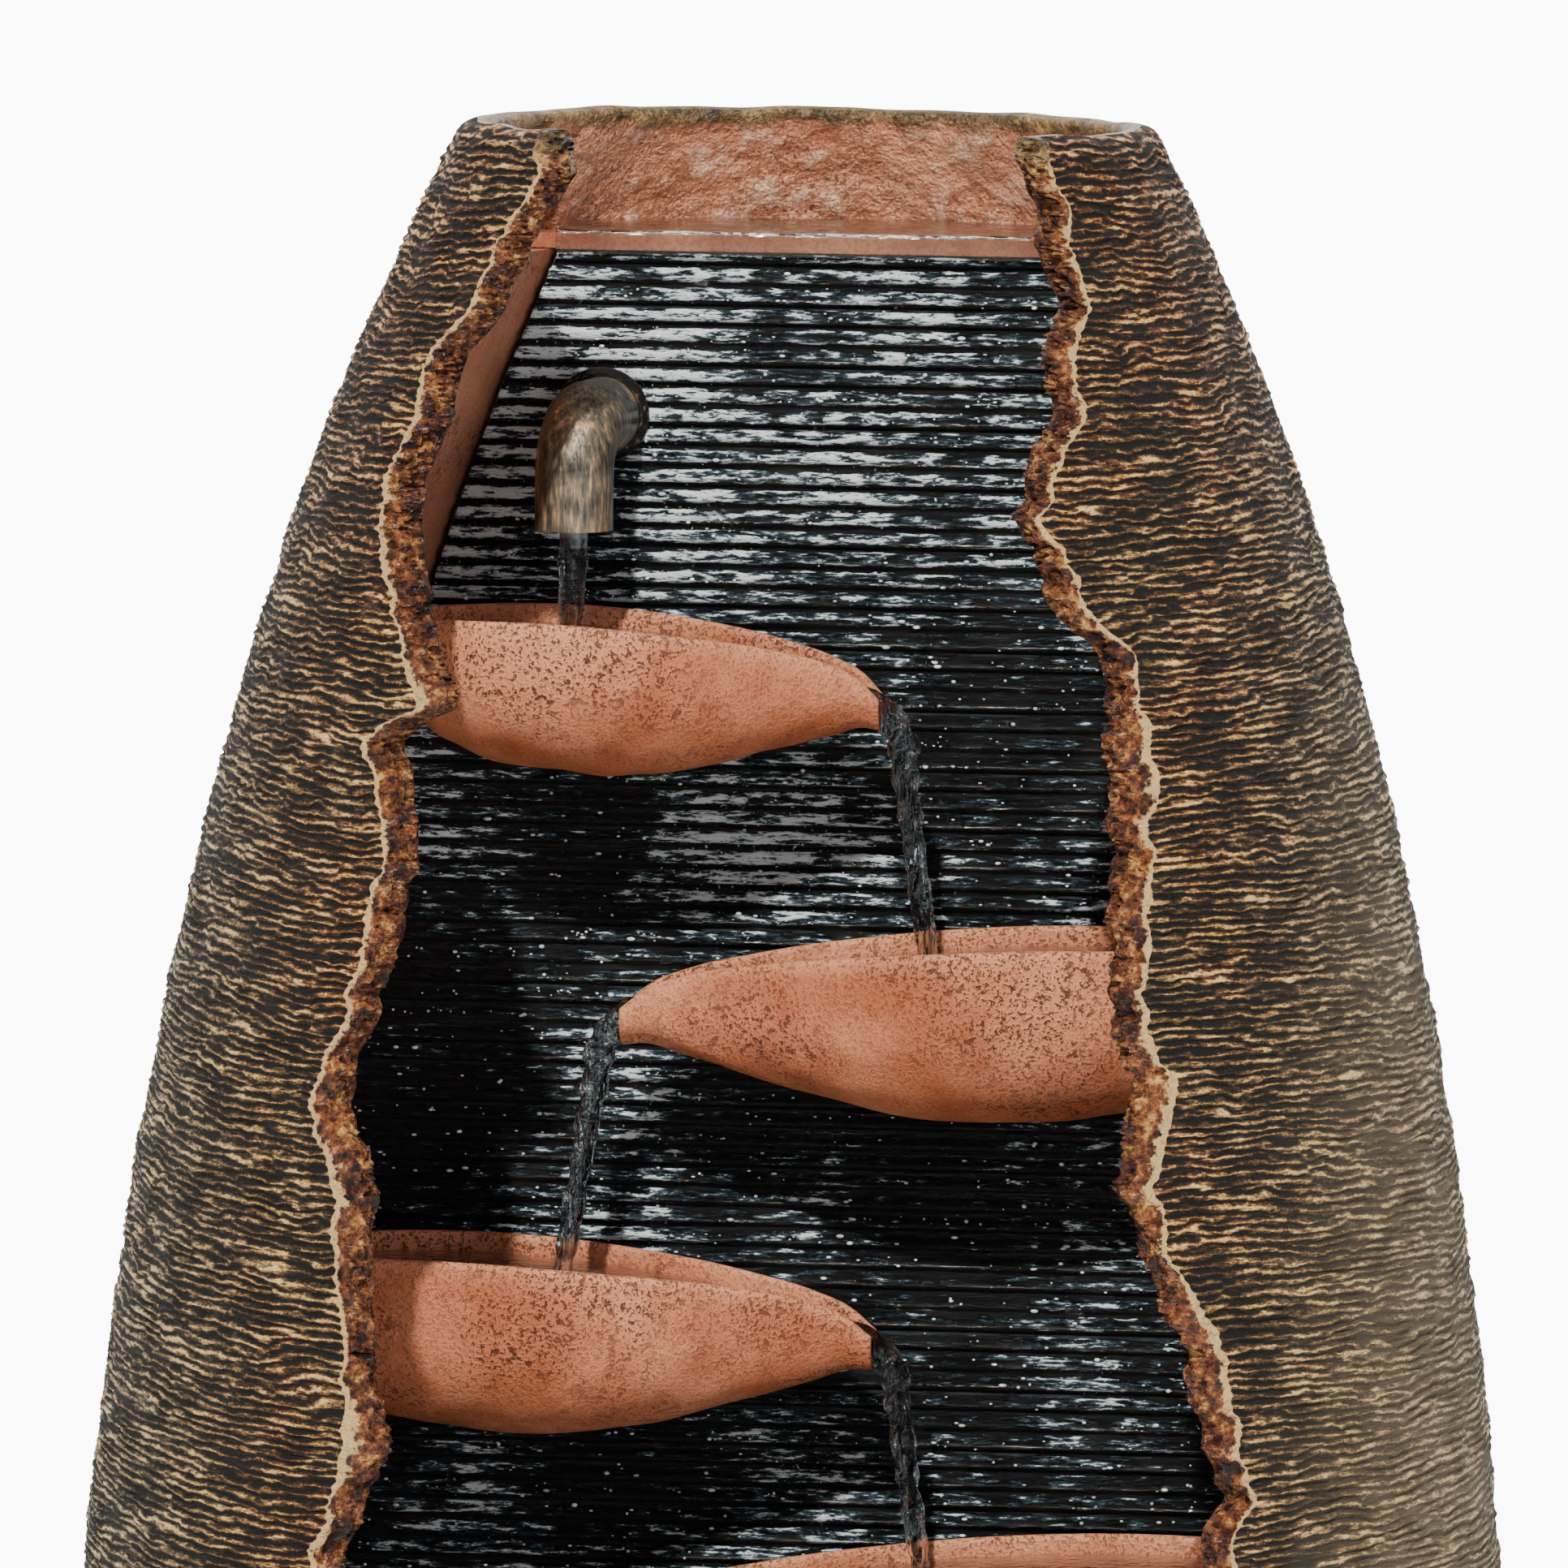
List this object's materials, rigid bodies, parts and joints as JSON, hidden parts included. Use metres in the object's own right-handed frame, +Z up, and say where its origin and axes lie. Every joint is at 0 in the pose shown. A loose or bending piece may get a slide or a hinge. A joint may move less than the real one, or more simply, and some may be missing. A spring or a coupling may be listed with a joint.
{
  "type": "jar cascade fountain",
  "caption": "Tall jar water fountain with a torn-open front, ribbed water wall, stepped leaf bowls, metal spout and a pump chamber behind.",
  "frame": {"origin": "on the ground under the middle of the foot", "axes": "+Z up, -Y out of the open front, +X to the right seen from the front"},
  "size_m": [0.5749, 0.5749, 1.04],
  "materials": {
    "combed_stoneware": "matte",
    "terracotta": "matte",
    "wet_slate": "gloss",
    "aged_bronze": "satin",
    "steel": "satin",
    "rubber": "matte",
    "clear_vinyl": "gloss",
    "grey_plastic": "matte",
    "black_plastic": "matte",
    "white_plastic": "matte",
    "red_plastic": "satin",
    "ferrite": "satin",
    "foam": "matte"
  },
  "bodies": {
    "fountain": {"jar_base": "combed_stoneware", "jar_shell": "combed_stoneware", "door_frame": "grey_plastic", "niche_liner": "terracotta", "ripple_wall": "wet_slate", "upper_reservoir": "terracotta", "bowl_1": "terracotta", "bowl_2": "terracotta", "bowl_3": "terracotta", "bowl_4": "terracotta", "bowl_5": "terracotta", "bowl_studs": "steel", "bowl_washers": "steel", "bowl_nuts": "steel", "spout_elbow": "aged_bronze", "spout_escutcheon": "aged_bronze", "spout_gasket": "rubber", "spout_locknut": "aged_bronze", "spout_nozzle_tube": "clear_vinyl", "inlet_bulkhead": "grey_plastic", "inlet_gasket": "rubber", "inlet_nut": "grey_plastic", "tee_fitting": "grey_plastic", "valve_body": "grey_plastic", "pump_body": "black_plastic", "volute_cover": "grey_plastic", "pump_intake_cover": "black_plastic", "pump_foam": "foam", "suction_cups": "rubber", "pump_cable_gland": "black_plastic", "riser_hose": "clear_vinyl", "weir_hose": "clear_vinyl", "spout_hose": "clear_vinyl", "hose_clamps": "steel", "drain_gasket": "rubber", "cord_grommet": "rubber", "debris_screen": "black_plastic"},
    "rotor": {"impeller": "white_plastic", "magnet_rotor": "ferrite", "impeller_shaft": "steel"},
    "flow_control": {"flow_slider": "red_plastic"},
    "valve_lever": {"valve_handle": "red_plastic"},
    "door": {"access_door": "combed_stoneware", "door_screws": "steel"},
    "drain": {"drain_plug": "black_plastic"}
  },
  "joints": [
    {"name": "impeller_spin", "type": "hinge", "parent": "fountain", "child": "rotor", "pos_m": [0, 0.092, 0.059], "axis": [0, 1, 0], "continuous": true},
    {"name": "flow_slide", "type": "slide", "parent": "fountain", "child": "flow_control", "axis": [0, 0, 1], "range_m": [0, 0.012]},
    {"name": "valve_turn", "type": "hinge", "parent": "fountain", "child": "valve_lever", "pos_m": [-0.028, 0.083, 0.322], "axis": [0, 1, 0], "range_deg": [-90, 0]},
    {"name": "door_pull", "type": "slide", "parent": "fountain", "child": "door", "axis": [0, 1, 0], "range_m": [0, 0.08]},
    {"name": "drain_pull", "type": "slide", "parent": "fountain", "child": "drain", "axis": [0, 1, 0], "range_m": [0, 0.06]}
  ]
}
